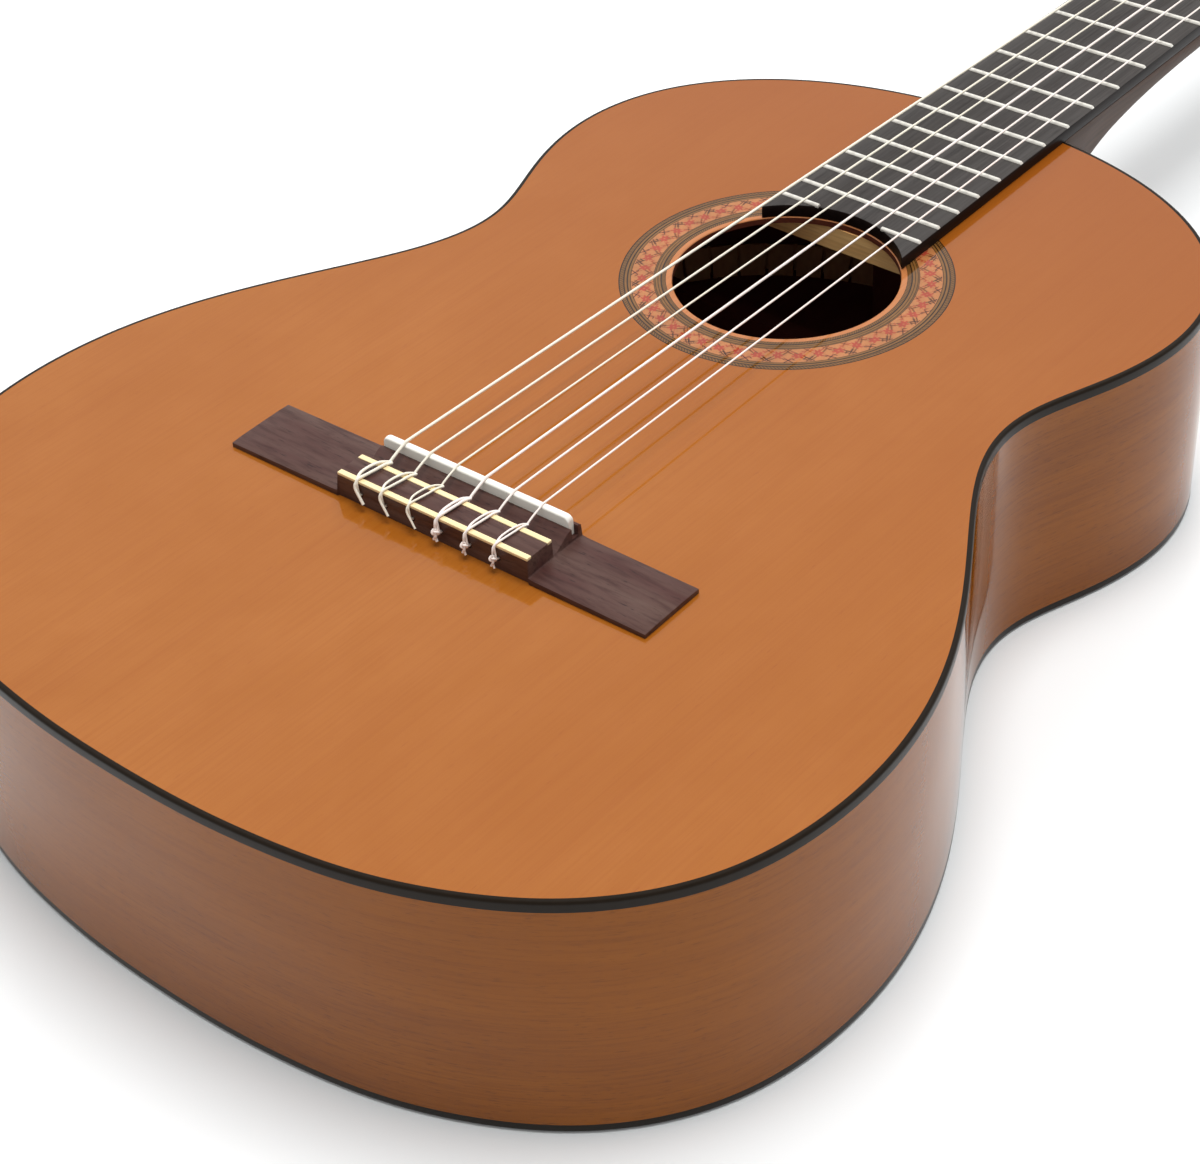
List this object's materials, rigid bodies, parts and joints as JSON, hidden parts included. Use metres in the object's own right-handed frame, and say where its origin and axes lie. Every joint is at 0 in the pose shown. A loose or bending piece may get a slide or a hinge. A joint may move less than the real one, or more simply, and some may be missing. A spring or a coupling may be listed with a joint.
{
  "type": "classical guitar",
  "caption": "Nylon-string classical guitar with hollow body, slotted headstock and geared tuning machines that turn the string rollers.",
  "frame": {"origin": "point on the flat back under the middle of the body", "axes": "+Y from the tail towards the head, +Z out of the soundboard, +X towards the treble side"},
  "size_m": [0.3718, 0.9946, 0.1106],
  "materials": {
    "spruce_top": "clear gloss lacquer over amber tinted spruce, fine straight grain",
    "body_wood": "clear gloss lacquer over red-brown wood with fine streaks",
    "neck_wood": "satin brown lacquer",
    "binding": "polished near-black, rounded edge",
    "rosewood": "oiled dark rosewood",
    "raw_spruce": "bare planed spruce",
    "mosaic": "lacquered wood mosaic",
    "bone": "satin off-white",
    "cream": "polished cream-yellow",
    "fret_metal": "polished nickel silver",
    "nylon": "clear nylon",
    "wound_string": "silver-plated winding",
    "plated_metal": "gilt plated steel",
    "barrel": "cream barrel on a plated shaft",
    "knob": "pearly off-white"
  },
  "bodies": {
    "guitar": {"back": "body_wood", "back_binding": "binding", "back_bracing": "raw_spruce", "back_lining": "raw_spruce", "bridge": "rosewood", "fingerboard": "rosewood", "fret_01": "fret_metal", "fret_02": "fret_metal", "fret_03": "fret_metal", "fret_04": "fret_metal", "fret_05": "fret_metal", "fret_06": "fret_metal", "fret_07": "fret_metal", "fret_08": "fret_metal", "fret_09": "fret_metal", "fret_10": "fret_metal", "fret_11": "fret_metal", "fret_12": "fret_metal", "fret_13": "fret_metal", "fret_14": "fret_metal", "fret_15": "fret_metal", "fret_16": "fret_metal", "fret_17": "fret_metal", "fret_18": "fret_metal", "fret_19_bass": "fret_metal", "fret_19_treble": "fret_metal", "head_block": "raw_spruce", "machine_plate_bass": "plated_metal", "machine_plate_treble": "plated_metal", "neck": "neck_wood", "nut": "bone", "rosette": "mosaic", "saddle": "bone", "side_bass": "body_wood", "side_treble": "body_wood", "soundboard": "spruce_top", "soundboard_bracing": "raw_spruce", "string_1": "nylon", "string_2": "nylon", "string_3": "nylon", "string_4": "wound_string", "string_5": "wound_string", "string_6": "wound_string", "tail_block": "raw_spruce", "tie_inlay_front": "cream", "tie_inlay_rear": "cream", "top_binding": "binding", "top_lining": "raw_spruce"},
    "knob_1": {"tuning_knob_1": "knob"},
    "roller_1": {"string_roller_1": "barrel"},
    "knob_2": {"tuning_knob_2": "knob"},
    "roller_2": {"string_roller_2": "barrel"},
    "knob_3": {"tuning_knob_3": "knob"},
    "roller_3": {"string_roller_3": "barrel"},
    "knob_4": {"tuning_knob_4": "knob"},
    "roller_4": {"string_roller_4": "barrel"},
    "knob_5": {"tuning_knob_5": "knob"},
    "roller_5": {"string_roller_5": "barrel"},
    "knob_6": {"tuning_knob_6": "knob"},
    "roller_6": {"string_roller_6": "barrel"}
  },
  "joints": [
    {"name": "tune_1", "type": "hinge", "parent": "guitar", "child": "knob_1", "pos_m": [0.0427, 0.63228, 0.06746], "axis": [0, 0.2667, 0.9638], "continuous": true},
    {"name": "roller_spin_1", "type": "hinge", "parent": "guitar", "child": "roller_1", "pos_m": [0, 0.62399, 0.06976], "axis": [1, 0, 0], "continuous": true},
    {"name": "tune_2", "type": "hinge", "parent": "guitar", "child": "knob_2", "pos_m": [0.0427, 0.66601, 0.05813], "axis": [0, 0.2667, 0.9638], "continuous": true},
    {"name": "roller_spin_2", "type": "hinge", "parent": "guitar", "child": "roller_2", "pos_m": [0, 0.65772, 0.06042], "axis": [1, 0, 0], "continuous": true},
    {"name": "tune_3", "type": "hinge", "parent": "guitar", "child": "knob_3", "pos_m": [0.0427, 0.69974, 0.04879], "axis": [0, 0.2667, 0.9638], "continuous": true},
    {"name": "roller_spin_3", "type": "hinge", "parent": "guitar", "child": "roller_3", "pos_m": [0, 0.69145, 0.05109], "axis": [1, 0, 0], "continuous": true},
    {"name": "tune_4", "type": "hinge", "parent": "guitar", "child": "knob_4", "pos_m": [-0.0427, 0.69974, 0.04879], "axis": [0, 0.2667, 0.9638], "continuous": true},
    {"name": "roller_spin_4", "type": "hinge", "parent": "guitar", "child": "roller_4", "pos_m": [0, 0.69145, 0.05109], "axis": [1, 0, 0], "continuous": true},
    {"name": "tune_5", "type": "hinge", "parent": "guitar", "child": "knob_5", "pos_m": [-0.0427, 0.66601, 0.05813], "axis": [0, 0.2667, 0.9638], "continuous": true},
    {"name": "roller_spin_5", "type": "hinge", "parent": "guitar", "child": "roller_5", "pos_m": [0, 0.65772, 0.06042], "axis": [1, 0, 0], "continuous": true},
    {"name": "tune_6", "type": "hinge", "parent": "guitar", "child": "knob_6", "pos_m": [-0.0427, 0.63228, 0.06746], "axis": [0, 0.2667, 0.9638], "continuous": true},
    {"name": "roller_spin_6", "type": "hinge", "parent": "guitar", "child": "roller_6", "pos_m": [0, 0.62399, 0.06976], "axis": [1, 0, 0], "continuous": true}
  ],
  "couplings": [
    {"joint": "roller_spin_1", "follows": "tune_1", "ratio": -0.071429},
    {"joint": "roller_spin_2", "follows": "tune_2", "ratio": -0.071429},
    {"joint": "roller_spin_3", "follows": "tune_3", "ratio": -0.071429},
    {"joint": "roller_spin_4", "follows": "tune_4", "ratio": -0.071429},
    {"joint": "roller_spin_5", "follows": "tune_5", "ratio": -0.071429},
    {"joint": "roller_spin_6", "follows": "tune_6", "ratio": -0.071429}
  ]
}
